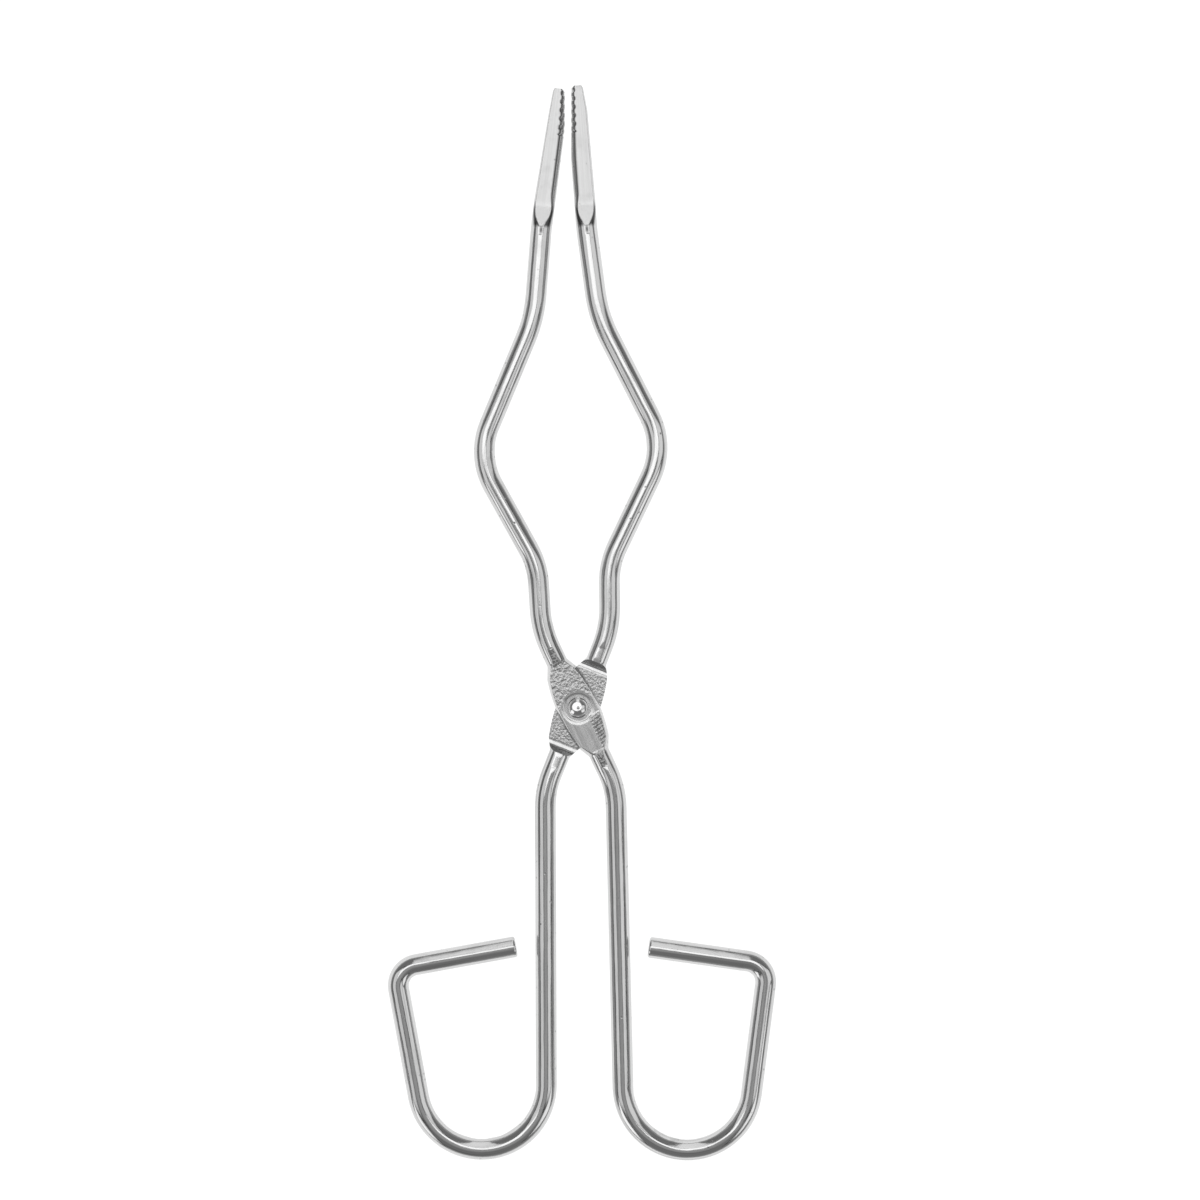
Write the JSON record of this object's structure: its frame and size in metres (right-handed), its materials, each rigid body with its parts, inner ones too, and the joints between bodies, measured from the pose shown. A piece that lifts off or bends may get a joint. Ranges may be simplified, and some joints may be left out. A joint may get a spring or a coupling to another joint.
{
  "type": "crucible tongs",
  "caption": "Scissor-jointed metal tongs with a rounded bow, serrated narrow jaws and open finger loops, for handling hot crucibles and dishes.",
  "frame": {"origin": "on the rivet's axis, at the flat tail face, level with the undersides of the rods", "axes": "+Y from the rivet towards the jaws, +Z out of the side with the rivet's domed head, +X to the right seen from that side"},
  "size_m": [0.0919, 0.2546, 0.0062],
  "materials": {
    "plated_steel": "polished nickel plate on bent steel rod, with a forged, crinkled skin where the arms are pressed flat",
    "rivet_steel": "polished domed rivet with a hammered flat tail"
  },
  "bodies": {
    "rear": {"rear_arm": "plated_steel", "pivot_rivet": "rivet_steel"},
    "front": {"front_arm": "plated_steel"}
  },
  "joints": [
    {"name": "pivot", "type": "hinge", "parent": "rear", "child": "front", "pos_m": [0, 0, 0.0025], "axis": [0, 0, 1], "range_deg": [-0.5, 94]}
  ]
}
